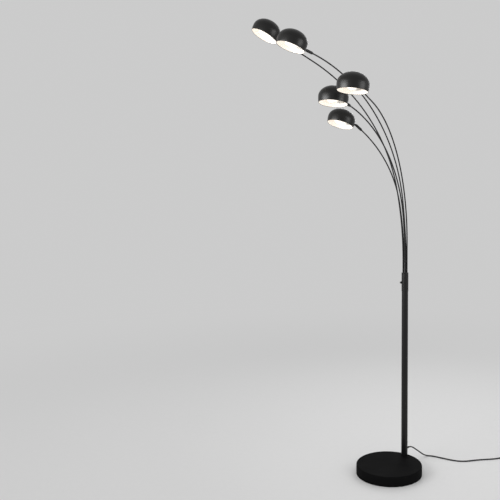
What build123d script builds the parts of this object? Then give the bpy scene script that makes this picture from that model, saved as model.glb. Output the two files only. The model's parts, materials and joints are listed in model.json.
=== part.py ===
from build123d import *

import os
from math import cos, pi, radians, sin, sqrt, tan
from typing import NamedTuple

# Tree floor lamp: a weighted drum base, one pole near its back edge, and five thin bent arms
# that fan out of the pole's top, each with a tilting open dome shade.
# Millimetres. The origin is the centre of the base's underside, +Z is up, -Y is the front,
# the way the arms lean, and +X is the lamp's left.

# ---- base ----
base_diameter = 300.0
base_height = 44.0
cover_wall = 1.5
cover_edge_radius = 5.0
cover_lift = 1.0                # the cover's rim above the floor
edge_gap = 0.5                  # weight and pad to the cover's wall
pad_thickness = 2.0
pad_edge = 0.5
weight_plate = 16.0
weight_rim = 14.0
rib_count = 6
rib_width = 8.0
hub_diameter = 44.0
hub_floor = 16.0                # underside of the hub, above the floor
nut_pocket_diameter = 38.0

# ---- pole ----
pole_inset = 25.0               # pole axis in from the base's edge
pole_diameter = 30.0
pole_wall = 1.5
pole_top = 911.0
collar_diameter = 32.0
collar_height = 86.0
collar_wall = 1.5
collar_floor = 3.0
spigot_depth = 20.0             # collar's spigot in the pole
tube_fit = 0.1                  # radial clearance of a plug or spigot in a tube
foot_depth = 25.0
foot_spigot_diameter = 16.0
foot_spigot_end = 4.0           # its lower end, above the floor
foot_spigot_edge = 1.0
spigot_clearance = 0.3
washer_diameter = 34.0
washer_thickness = 2.0
nut_across_flats = 24.0
nut_thickness = 8.0
thread_fit = 0.05

# ---- arm cap ----
arm_circle_radius = 9.5
arm_diameter = 6.0
arm_bore = 4.0
arm_fit = 0.05
cap_lip = 3.0
cap_depth = 14.0
cap_edge = 1.0
arm_foot_diameter = 8.6
arm_foot_thickness = 2.0
foot_play = 0.15
keeper_diameter = 27.0
keeper_thickness = 2.0
keeper_boss_diameter = 7.0
wire_hole_diameter = 3.0
screw_diameter = 3.0
screw_head_diameter = 5.6
screw_head_height = 2.0
screw_depth = 9.0

# ---- switch ----
switch_drop = 47.0              # switch axis below the pole's top
switch_turn = 225.0             # way the knob points, from +X
switch_bush_diameter = 8.0
switch_body_diameter = 15.0
switch_body_depth = 17.0
switch_body_face = 10.0         # body's front face from the pole's axis
switch_nut_diameter = 12.0
switch_nut_thickness = 1.8
knob_diameter = 9.0
knob_height = 5.2
knob_shaft_diameter = 4.0
knob_flutes = 10
knob_flute_radius = 0.6
knob_gap = 0.4

# ---- arm ends ----
socket_diameter = 12.0
socket_length = 34.0            # from its mouth to the hinge pin
socket_mouth_diameter = 9.0
socket_taper = 5.0
tube_seat = 12.0                # the tube's end, behind the hinge pin
slot_width = 5.6
slot_depth = 6.4                # slot's floor, behind the hinge pin
pin_diameter = 3.0
pin_head_diameter = 5.4
pin_head_height = 0.8
pin_fit = 0.05
tongue_thickness = 5.0
tongue_radius = 4.5
neck_start = 7.0
neck_diameter = 9.0
seat_reach = 14.0               # hinge pin to the shade's wall
seat_collar_diameter = 16.0
seat_collar_thickness = 2.0
stud_diameter = 10.0
stud_bore = 4.0
stud_length = 13.0

# ---- shade ----
shade_diameter = 125.0
shade_rim_diameter = 118.5
shade_height = 72.6
shade_belly = 26.7              # widest ring above the rim
shade_wall = 1.0
stud_height = 25.0              # stud above the rim
stud_hole_fit = 0.1

# ---- lampholder and bulb ----
ring_nut_diameter = 16.0
ring_nut_thickness = 3.0
ring_nut_flat = 14.4
holder_gap = 0.3
holder_entry_diameter = 15.0
holder_entry_length = 8.0
holder_diameter = 27.0
holder_length = 34.0
holder_cone = 4.0
holder_thread = 9.0             # stud's depth in the holder
holder_floor = 12.0             # floor of the lamp cap's socket, from the holder's back
bulb_cap_diameter = 13.6
bulb_cap_length = 22.0
bulb_cap_gap = 0.3
bulb_contact = 3.0              # length of the cap's tapered end
bulb_flare = 2.0                # length of the step from cap to neck
bulb_neck_diameter = 21.0
bulb_diameter = 45.0
bulb_length = 78.0
bulb_shoulder = 50.0            # where the neck meets the ball, degrees from the cap

# ---- cord ----
cord_diameter = 6.0
cord_exit_height = 74.0
cord_floor_height = 3.2         # cord's centre where it lies
gland_flange_diameter = 13.0
gland_flange_thickness = 2.0
gland_tail_length = 22.0
gland_tail_diameter = 10.0
gland_mouth_diameter = 8.0
gland_bush_diameter = 9.0
gland_bush_length = 4.0
cord_fit = 0.1
coil_turn_radius = 33.0
coil_turns_wide = 3
coil_turns_high = 2
coil_x = 358.0
coil_y = 523.0
plug_reach = 15.0               # plug's tail from the coil's centre, along +X
plug_width = 35.0
plug_thickness = 13.6
plug_length = 36.0
plug_shoulder = 13.0            # length over which the tail widens to the body
plug_tail_diameter = 8.0
plug_tail_length = 16.0
plug_pin_diameter = 4.0
plug_pin_length = 19.0
plug_pin_spacing = 19.0
plug_edge = 2.4

# The cord's route from the pole's back to the coil, chosen by eye.
cord_route = [
    (0, 146, 74), (0, 169, 74), (1.6, 189, 66.5), (4.5, 209, 53), (9.5, 230, 37), (15.5, 250, 21),
    (22, 268, 8), (33, 283, 3.2), (52, 293, 3.2), (81, 299, 3.2), (113, 303, 3.2), (144, 308, 3.2),
    (176, 318, 3.2), (203, 337, 3.2), (221, 361, 3.2), (239, 388, 3.2), (265, 418.5, 3.2),
    (291, 446, 3.2), (311, 476, 3.2), (319, 500, 3.2), (319, 516, 3.2),
]


class Arm(NamedTuple):
    """One arm's bend and the way its head is set. Angles in degrees."""

    hole: float          # place of its hole on the cap's circle, from +X
    heading: float       # way it leans, from the front (-Y) towards +X
    straight: float      # upright run above the cap
    lower_radius: float
    lower_bend: float
    upper_radius: float
    upper_bend: float
    run: float           # straight run after the bends, to the tube's end
    roll: float          # turn of the fork about the arm's end
    nod: float           # head's tilt at rest, up from in line with the arm's end


arms = {
    1: Arm(234, -27.6, 53, 1700, 11.5, 815, 50.5, 150, -3, 0),
    2: Arm(90, -7.4, 6, 2200, 8.5, 740, 67.5, 26, -8, 4),
    3: Arm(18, 15.9, 140, 720, 2, 615, 74, 115, -3, -8),
    4: Arm(306, -0.5, 27, 1700, 8, 585, 63, 26, 1, -10),
    5: Arm(162, -31, 58, 1600, 9.5, 560, 40, 26, 6, -23),
}

# ---- levels and radii worked out from the sizes ----
base_radius = base_diameter / 2
pole_offset = base_radius - pole_inset
cover_inner_radius = base_radius - cover_wall
weight_radius = cover_inner_radius - edge_gap
weight_top = base_height - cover_wall
plate_floor = weight_top - weight_plate
collar_base = pole_top - cap_lip - collar_height
collar_top = pole_top - cap_lip
collar_inner_radius = collar_diameter / 2 - collar_wall
pole_inner_radius = pole_diameter / 2 - pole_wall
cap_underside = collar_top - cap_depth
arm_foot_top = cap_underside - foot_play
keeper_top = arm_foot_top - arm_foot_thickness - foot_play
keeper_underside = keeper_top - keeper_thickness
switch_height = pole_top - switch_drop
dome_reach = seat_reach + shade_diameter / 2
dome_inner_radius = shade_diameter / 2 - shade_wall
ring_nut_seat = (seat_reach + shade_wall + dome_inner_radius
                 - sqrt(dome_inner_radius ** 2 - (ring_nut_diameter / 2) ** 2) + holder_gap)
holder_back = ring_nut_seat + ring_nut_thickness + holder_gap
bulb_back = holder_back + holder_floor + 2 * holder_gap
coil_half_width = coil_turns_wide * cord_diameter / 2
coil_outer_radius = coil_turn_radius + coil_half_width
coil_exit_radius = coil_outer_radius - cord_diameter / 2
coil_floor = cord_floor_height - cord_diameter / 2

UP = Vector(0, 0, 1)
pole_axis = Vector(0, pole_offset, 0)

os.makedirs("parts", exist_ok=True)


def save(part: Part, label: str) -> None:
    """Label a finished piece and write it under its name."""
    part.label = label
    export_step(part, f"parts/{label}.step")


# ---- frames of an arm and its head ----

def hole_centre(arm: Arm, height: float) -> Vector:
    """Point on the arm's hole axis at a height above the floor."""
    turn = radians(arm.hole)
    return pole_axis + Vector(arm_circle_radius * cos(turn), arm_circle_radius * sin(turn), height)


def heading_of(arm: Arm) -> Vector:
    """Level direction in which the arm leans."""
    turn = radians(arm.heading)
    return Vector(sin(turn), -cos(turn), 0)


def arm_plane(arm: Arm) -> Plane:
    """Upright plane of the arm's bends: x along its heading, y up, origin at the pole's top."""
    ahead = heading_of(arm)
    return Plane(hole_centre(arm, pole_top), x_dir=ahead, z_dir=ahead.cross(UP))


def end_plane(arm: Arm) -> Plane:
    """Plane of the fork: origin on the hinge pin, x along the arm's end, z along the pin."""
    ahead = heading_of(arm)
    first = radians(arm.lower_bend)
    total = radians(arm.lower_bend + arm.upper_bend)
    run = arm.run + tube_seat
    reach = (arm.lower_radius * (1 - cos(first)) + arm.upper_radius * (cos(first) - cos(total))
             + run * sin(total))
    rise = (arm.straight + arm.lower_radius * sin(first)
            + arm.upper_radius * (sin(total) - sin(first)) + run * cos(total))
    along = ahead * sin(total) + UP * cos(total)
    over = UP * sin(total) - ahead * cos(total)
    roll = radians(arm.roll)
    over = over * cos(roll) + along.cross(over) * sin(roll)
    origin = hole_centre(arm, pole_top) + ahead * reach + UP * rise
    return Plane(origin, x_dir=along, z_dir=along.cross(over))


def head_plane(arm: Arm) -> Plane:
    """Plane of the head: origin on the hinge pin, x to the dome's axis, y up that axis."""
    end = end_plane(arm)
    nod = radians(arm.nod)
    ahead = end.x_dir * cos(nod) + end.y_dir * sin(nod)
    return Plane(end.origin, x_dir=ahead, z_dir=end.z_dir)


def stud_axis(head: Plane) -> Axis:
    """Axis of the stud, ring nut, lampholder and bulb."""
    return Axis(head.origin, head.x_dir)


# ---- base ----

with BuildPart() as base_cover:
    with BuildSketch(Plane.XY.offset(cover_lift)):
        Circle(base_radius)
    extrude(amount=base_height - cover_lift)
    fillet(base_cover.faces().sort_by(Axis.Z)[-1].edges(), cover_edge_radius)
    offset(amount=-cover_wall, openings=base_cover.faces().sort_by(Axis.Z)[0])
    with BuildSketch(Plane.XY.offset(weight_top)):
        with Locations((0, pole_offset)):
            Circle(foot_spigot_diameter / 2 + spigot_clearance)
    extrude(amount=cover_wall, mode=Mode.SUBTRACT)
save(base_cover.part, "base_cover")

with BuildPart() as base_weight:
    with BuildSketch(Plane.XY.offset(pad_thickness)):
        Circle(weight_radius)
    extrude(amount=weight_top - pad_thickness)
    fillet(base_weight.faces().sort_by(Axis.Z)[-1].edges(), cover_edge_radius)
    with BuildSketch(Plane.XY.offset(pad_thickness)):
        Circle(weight_radius - weight_rim)
        with PolarLocations(weight_radius / 2, rib_count):
            Rectangle(weight_radius, rib_width, mode=Mode.SUBTRACT)
        with Locations((0, pole_offset)):
            Circle(hub_diameter / 2, mode=Mode.SUBTRACT)
    extrude(amount=plate_floor - pad_thickness, mode=Mode.SUBTRACT)
    with BuildSketch(Plane.XY.offset(pad_thickness)):
        with Locations((0, pole_offset)):
            Circle(nut_pocket_diameter / 2)
    extrude(amount=hub_floor - pad_thickness, mode=Mode.SUBTRACT)
    with BuildSketch(Plane.XY.offset(hub_floor)):
        with Locations((0, pole_offset)):
            Circle(foot_spigot_diameter / 2 + spigot_clearance)
    extrude(amount=weight_top - hub_floor, mode=Mode.SUBTRACT)
save(base_weight.part, "base_weight")

with BuildPart() as base_pad:
    with BuildSketch(Plane.XY):
        Circle(weight_radius)
    extrude(amount=pad_thickness)
    chamfer(base_pad.faces().sort_by(Axis.Z)[0].edges(), pad_edge)
save(base_pad.part, "base_pad")

with BuildPart() as foot_washer:
    with BuildSketch(Plane.XY.offset(hub_floor - washer_thickness)):
        with Locations((0, pole_offset)):
            Circle(washer_diameter / 2)
            Circle(foot_spigot_diameter / 2 + spigot_clearance, mode=Mode.SUBTRACT)
    extrude(amount=washer_thickness)
save(foot_washer.part, "foot_washer")

with BuildPart() as foot_nut:
    with BuildSketch(Plane.XY.offset(hub_floor - washer_thickness - nut_thickness)):
        with Locations((0, pole_offset)):
            RegularPolygon(nut_across_flats / 2, 6, major_radius=False)
            Circle(foot_spigot_diameter / 2 + thread_fit, mode=Mode.SUBTRACT)
    extrude(amount=nut_thickness)
save(foot_nut.part, "foot_nut")

# ---- pole ----

with BuildPart() as pole_foot:
    with BuildSketch(Plane.XY.offset(foot_spigot_end)):
        with Locations((0, pole_offset)):
            Circle(foot_spigot_diameter / 2)
    extrude(amount=base_height - foot_spigot_end)
    with BuildSketch(Plane.XY.offset(base_height)):
        with Locations((0, pole_offset)):
            Circle(pole_inner_radius - tube_fit)
    extrude(amount=foot_depth)
    chamfer(pole_foot.faces().sort_by(Axis.Z)[0].edges(), foot_spigot_edge)
save(pole_foot.part, "pole_foot")

cord_way = Plane((0, pole_offset, cord_exit_height), x_dir=(1, 0, 0), z_dir=(0, 1, 0))

with BuildPart() as pole_tube:
    with BuildSketch(Plane.XY.offset(base_height)):
        with Locations((0, pole_offset)):
            Circle(pole_diameter / 2)
            Circle(pole_inner_radius, mode=Mode.SUBTRACT)
    extrude(amount=collar_base - base_height)
    with BuildSketch(cord_way):
        Circle(gland_bush_diameter / 2 + cord_fit)
    extrude(amount=pole_diameter / 2, mode=Mode.SUBTRACT)
save(pole_tube.part, "pole_tube")

switch_way = Plane(
    (0, pole_offset, switch_height),
    x_dir=(-sin(radians(switch_turn)), cos(radians(switch_turn)), 0),
    z_dir=(cos(radians(switch_turn)), sin(radians(switch_turn)), 0),
)

with BuildPart() as pole_collar:
    with BuildSketch(Plane.XY.offset(collar_base - spigot_depth)):
        with Locations((0, pole_offset)):
            Circle(pole_inner_radius - tube_fit)
    extrude(amount=spigot_depth)
    with BuildSketch(Plane.XY.offset(collar_base)):
        with Locations((0, pole_offset)):
            Circle(collar_diameter / 2)
    extrude(amount=collar_height)
    chamfer(pole_collar.faces().filter_by(Plane.XY).sort_by(Axis.Z)[1].edges()
            .sort_by(SortBy.RADIUS)[-1], cap_edge)
    with BuildSketch(Plane.XY.offset(collar_base + collar_floor)):
        with Locations((0, pole_offset)):
            Circle(collar_inner_radius)
    extrude(amount=collar_height - collar_floor, mode=Mode.SUBTRACT)
    with BuildSketch(Plane.XY.offset(collar_base - spigot_depth)):
        with Locations((0, pole_offset)):
            Circle(pole_inner_radius - tube_fit - collar_floor)
    extrude(amount=spigot_depth + collar_floor, mode=Mode.SUBTRACT)
    with BuildSketch(switch_way):
        Circle(switch_bush_diameter / 2 + thread_fit)
    extrude(amount=collar_diameter / 2, mode=Mode.SUBTRACT)
save(pole_collar.part, "pole_collar")

# ---- arm cap and keeper ----

with BuildPart() as arm_cap:
    with BuildSketch(Plane.XY.offset(cap_underside)):
        with Locations((0, pole_offset)):
            Circle(collar_inner_radius - tube_fit)
    extrude(amount=cap_depth)
    with BuildSketch(Plane.XY.offset(collar_top)):
        with Locations((0, pole_offset)):
            Circle(collar_diameter / 2)
    extrude(amount=cap_lip)
    chamfer(arm_cap.faces().sort_by(Axis.Z)[-1].edges(), cap_edge)
    with BuildSketch(Plane.XY.offset(cap_underside)):
        for arm in arms.values():
            centre = hole_centre(arm, 0)
            with Locations((centre.X, centre.Y)):
                Circle(arm_diameter / 2 + arm_fit)
    extrude(amount=cap_depth + cap_lip, mode=Mode.SUBTRACT)
    with BuildSketch(Plane.XY.offset(cap_underside)):
        with Locations((0, pole_offset)):
            Circle(screw_diameter / 2 + thread_fit)
    extrude(amount=screw_depth, mode=Mode.SUBTRACT)
save(arm_cap.part, "arm_cap")

with BuildPart() as arm_keeper:
    with BuildSketch(Plane.XY.offset(keeper_underside)):
        with Locations((0, pole_offset)):
            Circle(keeper_diameter / 2)
    extrude(amount=keeper_thickness)
    with BuildSketch(Plane.XY.offset(keeper_top)):
        with Locations((0, pole_offset)):
            Circle(keeper_boss_diameter / 2)
    extrude(amount=cap_underside - keeper_top)
    with BuildSketch(Plane.XY.offset(keeper_underside)):
        with Locations((0, pole_offset)):
            Circle(screw_diameter / 2 + spigot_clearance)
        for arm in arms.values():
            centre = hole_centre(arm, 0)
            with Locations((centre.X, centre.Y)):
                Circle(wire_hole_diameter / 2)
    extrude(amount=cap_underside - keeper_underside, mode=Mode.SUBTRACT)
save(arm_keeper.part, "arm_keeper")

with BuildPart() as keeper_screw:
    with BuildSketch(Plane.XY.offset(keeper_underside - screw_head_height)):
        with Locations((0, pole_offset)):
            Circle(screw_head_diameter / 2)
    extrude(amount=screw_head_height)
    with BuildSketch(Plane.XY.offset(keeper_underside)):
        with Locations((0, pole_offset)):
            Circle(screw_diameter / 2)
    extrude(amount=cap_underside - keeper_underside + screw_depth - screw_head_height)
save(keeper_screw.part, "keeper_screw")

# ---- switch ----

with BuildPart() as switch_body:
    with BuildSketch(switch_way.offset(switch_body_face - switch_body_depth)):
        Circle(switch_body_diameter / 2)
    extrude(amount=switch_body_depth)
    with BuildSketch(switch_way.offset(switch_body_face)):
        Circle(switch_bush_diameter / 2)
    extrude(amount=collar_diameter / 2 + switch_nut_thickness - switch_body_face)
    with BuildSketch(switch_way.offset(switch_body_face)):
        Circle(knob_shaft_diameter / 2 + arm_fit)
    extrude(amount=collar_diameter / 2, mode=Mode.SUBTRACT)
save(switch_body.part, "switch_body")

with BuildPart() as switch_nut:
    with BuildSketch(switch_way.offset(collar_diameter / 2)):
        RegularPolygon(switch_nut_diameter / 2, 12)
        Circle(switch_bush_diameter / 2 + thread_fit, mode=Mode.SUBTRACT)
    extrude(amount=switch_nut_thickness)
save(switch_nut.part, "switch_nut")

knob_seat = collar_diameter / 2 + switch_nut_thickness + knob_gap

with BuildPart() as switch_knob:
    with BuildSketch(switch_way.offset(knob_seat)):
        Circle(knob_diameter / 2)
        with PolarLocations(knob_diameter / 2, knob_flutes):
            Circle(knob_flute_radius, mode=Mode.SUBTRACT)
    extrude(amount=knob_height)
    with BuildSketch(switch_way.offset(switch_body_face + knob_gap)):
        Circle(knob_shaft_diameter / 2)
    extrude(amount=knob_seat - switch_body_face - knob_gap)
save(switch_knob.part, "switch_knob")

# ---- arms and heads ----

def make_arm_tube(arm: Arm) -> Part:
    """Bent tube with a flanged foot under the cap."""
    foot = hole_centre(arm, arm_foot_top - arm_foot_thickness)
    below = pole_top - foot.Z
    with BuildPart() as tube:
        with BuildLine(arm_plane(arm)) as path:
            upright = Line((0, -below), (0, arm.straight))
            lower = JernArc(upright @ 1, (0, 1), arm.lower_radius, -arm.lower_bend)
            first = radians(arm.lower_bend)
            upper = JernArc(lower @ 1, (sin(first), cos(first)), arm.upper_radius, -arm.upper_bend)
            total = radians(arm.lower_bend + arm.upper_bend)
            last = upper @ 1
            ahead = arm_plane(arm).to_local_coords(last)
            Line((ahead.X, ahead.Y), (ahead.X + arm.run * sin(total), ahead.Y + arm.run * cos(total)))
        with BuildSketch(Plane(foot, z_dir=UP)):
            Circle(arm_diameter / 2)
            Circle(arm_bore / 2, mode=Mode.SUBTRACT)
        sweep(path=path.line)
        with BuildSketch(Plane(foot, z_dir=UP)):
            Circle(arm_foot_diameter / 2)
            Circle(arm_bore / 2, mode=Mode.SUBTRACT)
        extrude(amount=arm_foot_thickness)
    return tube.part


def make_arm_socket(arm: Arm) -> Part:
    """Turned sleeve over the tube's end, with a round-ended fork for the knuckle's tongue."""
    end = end_plane(arm)
    axis = Axis(end.origin, end.x_dir)
    outer = socket_diameter / 2
    with BuildPart() as socket:
        with BuildSketch(end):
            with BuildLine():
                Polyline((-tube_seat, 0), (-tube_seat, arm_diameter / 2 + arm_fit),
                         (-socket_length, arm_diameter / 2 + arm_fit),
                         (-socket_length, socket_mouth_diameter / 2),
                         (socket_taper - socket_length, outer), (0, outer))
                CenterArc((0, 0), outer, 0, 90)
                Line((outer, 0), (-tube_seat, 0))
            make_face()
        revolve(axis=axis)
        with BuildSketch(Plane(end.origin - end.x_dir * tube_seat, x_dir=end.z_dir, z_dir=end.x_dir)):
            Circle(arm_bore / 2)
        extrude(amount=tube_seat - slot_depth, mode=Mode.SUBTRACT)
        with BuildSketch(end):
            with Locations(((outer - slot_depth) / 2, 0)):
                Rectangle(outer + slot_depth, socket_diameter)
        extrude(amount=slot_width / 2, both=True, mode=Mode.SUBTRACT)
        with BuildSketch(end):
            Circle(pin_diameter / 2 + pin_fit)
        extrude(amount=outer, both=True, mode=Mode.SUBTRACT)
    return socket.part


def make_hinge_pin(arm: Arm) -> Part:
    """Riveted pin across the fork, with a low head on each side."""
    end = end_plane(arm)
    half_width = socket_diameter / 2
    with BuildPart() as pin:
        with BuildSketch(end):
            Circle(pin_diameter / 2)
        extrude(amount=half_width, both=True)
        for side in (-1, 1):
            with BuildSketch(end.offset(side * half_width)):
                Circle(pin_head_diameter / 2)
            extrude(amount=side * pin_head_height)
    return pin.part


def make_knuckle(arm: Arm) -> Part:
    """Tongue, neck, seat collar and hollow stud, turned and milled from one bar."""
    head = head_plane(arm)
    collar_back = seat_reach - seat_collar_thickness
    collar = seat_collar_diameter / 2
    stud = stud_diameter / 2
    neck = neck_diameter / 2
    bore = stud_bore / 2
    bore_start = neck_start + bore
    stud_end = seat_reach + stud_length
    with BuildPart() as knuckle:
        with BuildSketch(head):
            Circle(tongue_radius)
            with Locations((neck_start / 2, 0)):
                Rectangle(neck_start, 2 * tongue_radius)
        extrude(amount=tongue_thickness / 2, both=True)
        with BuildSketch(head):
            with BuildLine():
                Polyline((neck_start, 0), (neck_start, neck), (collar_back, neck),
                         (collar_back, collar), (seat_reach, collar), (seat_reach, stud),
                         (stud_end, stud), (stud_end, bore), (bore_start, bore), (bore_start, 0),
                         close=True)
            make_face()
        revolve(axis=stud_axis(head))
        with BuildSketch(head):
            Circle(pin_diameter / 2 + pin_fit)
        extrude(amount=tongue_thickness, both=True, mode=Mode.SUBTRACT)
    return knuckle.part


def make_shade(arm: Arm) -> Part:
    """Open spun dome with a hole for the stud in its side."""
    head = head_plane(arm)
    dome = Plane(head.origin + head.x_dir * dome_reach - head.y_dir * stud_height,
                 x_dir=head.x_dir, z_dir=head.z_dir)
    radius = shade_diameter / 2
    rim = shade_rim_diameter / 2
    crown = shade_height - shade_belly
    wall = shade_wall
    with BuildPart() as shade:
        with BuildSketch(dome):
            with BuildLine():
                EllipticalCenterArc((0, shade_belly), radius, crown)
                TangentArc((radius, shade_belly), (rim, 0), tangent=(0, -1))
                Line((rim, 0), (rim - wall, 0))
                TangentArc((radius - wall, shade_belly), (rim - wall, 0), tangent=(0, -1))
                EllipticalCenterArc((0, shade_belly), radius - wall, crown - wall)
                Line((0, shade_height - wall), (0, shade_height))
            make_face()
        revolve(axis=Axis(dome.origin, dome.y_dir))
        with BuildSketch(Plane(head.origin, x_dir=head.z_dir, z_dir=head.x_dir)):
            Circle(stud_diameter / 2 + stud_hole_fit)
        extrude(amount=dome_reach, mode=Mode.SUBTRACT)
    return shade.part


def make_shade_nut(arm: Arm) -> Part:
    """Ring nut inside the shade, with two flats for a spanner."""
    head = head_plane(arm)
    with BuildPart() as nut:
        with BuildSketch(Plane(head.origin + head.x_dir * ring_nut_seat,
                               x_dir=head.z_dir, z_dir=head.x_dir)):
            Circle(ring_nut_diameter / 2)
            Rectangle(ring_nut_diameter, ring_nut_flat, mode=Mode.INTERSECT)
            Circle(stud_diameter / 2 + thread_fit, mode=Mode.SUBTRACT)
        extrude(amount=ring_nut_thickness)
    return nut.part


def make_lampholder(arm: Arm) -> Part:
    """Screw lampholder on the stud's end, open towards the bulb."""
    head = head_plane(arm)
    entry = holder_back + holder_entry_length
    mouth = holder_back + holder_length
    floor = holder_back + holder_floor
    thread_end = holder_back + holder_thread
    stud_bore_radius = stud_diameter / 2 + thread_fit
    cup = bulb_cap_diameter / 2 + bulb_cap_gap
    with BuildPart() as holder:
        with BuildSketch(head):
            with BuildLine():
                Polyline((holder_back, stud_bore_radius), (holder_back, holder_entry_diameter / 2),
                         (entry, holder_entry_diameter / 2), (entry + holder_cone, holder_diameter / 2),
                         (mouth, holder_diameter / 2), (mouth, cup), (floor, cup),
                         (floor, stud_bore / 2), (thread_end, stud_bore / 2),
                         (thread_end, stud_bore_radius), close=True)
            make_face()
        revolve(axis=stud_axis(head))
    return holder.part


def make_bulb(arm: Arm) -> Part:
    """Golf-ball bulb: screw cap, tapered neck and round globe."""
    head = head_plane(arm)
    cap = bulb_cap_diameter / 2
    ball = bulb_diameter / 2
    cap_end = bulb_back + bulb_cap_length
    centre = bulb_back + bulb_length - ball
    shoulder = radians(bulb_shoulder)
    neck_end = (centre - ball * cos(shoulder), ball * sin(shoulder))
    with BuildPart() as bulb:
        with BuildSketch(head):
            with BuildLine():
                Polyline((centre + ball, 0), (bulb_back, 0), (bulb_back, cap / 2),
                         (bulb_back + bulb_contact, cap), (cap_end, cap),
                         (cap_end + bulb_flare, bulb_neck_diameter / 2), neck_end)
                CenterArc((centre, 0), ball, 0, 180 - bulb_shoulder)
            make_face()
        revolve(axis=stud_axis(head))
    return bulb.part


makers = {
    "arm_tube": make_arm_tube,
    "arm_socket": make_arm_socket,
    "hinge_pin": make_hinge_pin,
    "knuckle": make_knuckle,
    "shade": make_shade,
    "shade_nut": make_shade_nut,
    "lampholder": make_lampholder,
    "bulb": make_bulb,
}

for number, arm in arms.items():
    for name, maker in makers.items():
        save(maker(arm), f"{name}_{number}")

# ---- cord, its gland and its plug ----

gland_side = Plane((0, pole_offset, cord_exit_height), x_dir=(0, 1, 0), z_dir=(-1, 0, 0))

with BuildPart() as cord_gland:
    wall = pole_diameter / 2
    bore = cord_diameter / 2 + cord_fit
    with BuildSketch(gland_side):
        with BuildLine():
            Polyline((wall - gland_bush_length, bore),
                     (wall - gland_bush_length, gland_bush_diameter / 2),
                     (wall, gland_bush_diameter / 2), (wall, gland_flange_diameter / 2),
                     (wall + gland_flange_thickness, gland_flange_diameter / 2),
                     (wall + gland_flange_thickness, gland_tail_diameter / 2),
                     (wall + gland_tail_length, gland_mouth_diameter / 2),
                     (wall + gland_tail_length, bore), close=True)
        make_face()
    revolve(axis=Axis(gland_side.origin, gland_side.x_dir))
save(cord_gland.part, "cord_gland")


def corner_radii(points: list) -> list:
    """Largest smooth arc at each corner of a route: 0.45 of its shorter run."""
    found = []
    for before, corner, after in zip(points, points[1:], points[2:]):
        run_in = Vector(*corner) - Vector(*before)
        run_out = Vector(*after) - Vector(*corner)
        turn = radians(run_in.get_angle(run_out))
        found.append(0.45 * min(run_in.length, run_out.length) / tan(turn / 2))
    return found


radii = corner_radii(cord_route)
first_run = Vector(*cord_route[1]) - Vector(*cord_route[0])

with BuildPart() as cord:
    with BuildLine() as lie:
        FilletPolyline(*cord_route, radius=radii)
    with BuildSketch(Plane(cord_route[0], z_dir=first_run)):
        Circle(cord_diameter / 2)
    sweep(path=lie.line)
save(cord.part, "cord")
cord_length = sum(edge.length for edge in lie.edges())
print("cord: length", round(cord_length), "volume over section times length",
      round(cord.part.volume / (cord_length * pi * cord_diameter ** 2 / 4), 4),
      "radii", [round(radius, 1) for radius in radii])

with BuildPart() as cord_coil:
    with BuildSketch(Plane.XY.offset(coil_floor)):
        with Locations((coil_x, coil_y)):
            Circle(coil_outer_radius)
            Circle(coil_turn_radius - coil_half_width, mode=Mode.SUBTRACT)
    extrude(amount=coil_turns_high * cord_diameter)
save(cord_coil.part, "cord_coil")

# The cord leaves the coil on its far side, towards +X, straight into the plug's tail.
plug_plane = Plane((coil_x + plug_reach, coil_y + coil_exit_radius, plug_thickness / 2))

with BuildPart() as plug_body:
    with BuildSketch(plug_plane):
        with BuildLine():
            Polyline((plug_tail_length, 0), (plug_tail_length, plug_tail_diameter / 2),
                     (plug_tail_length + plug_shoulder, plug_width / 2),
                     (plug_tail_length + plug_length, plug_width / 2),
                     (plug_tail_length + plug_length, 0), close=True)
        make_face()
        mirror(about=Plane.XZ)
    extrude(amount=plug_thickness / 2, both=True)
    fillet(plug_body.edges().filter_by(Plane.XY), plug_edge)
    with BuildSketch(Plane(plug_plane.origin, x_dir=(0, 1, 0), z_dir=(1, 0, 0))):
        Circle(plug_tail_diameter / 2)
    extrude(amount=plug_tail_length)
save(plug_body.part, "plug_body")

with BuildPart() as plug_pins:
    face = plug_plane.origin + Vector(plug_tail_length + plug_length, 0, 0)
    with BuildSketch(Plane(face, x_dir=(0, 1, 0), z_dir=(1, 0, 0))):
        with GridLocations(plug_pin_spacing, 1, 2, 1):
            Circle(plug_pin_diameter / 2)
    extrude(amount=plug_pin_length)
    fillet(plug_pins.faces().sort_by(Axis.X)[-2:].edges(), plug_pin_diameter / 4)
save(plug_pins.part, "plug_pins")
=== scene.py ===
"""Looks of the tree floor lamp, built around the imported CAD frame. Metres throughout."""

import json
import logging
import math
from dataclasses import dataclass, field
from enum import Enum
from typing import Callable

import bmesh
import bpy
from mathutils import Matrix, Vector

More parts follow.
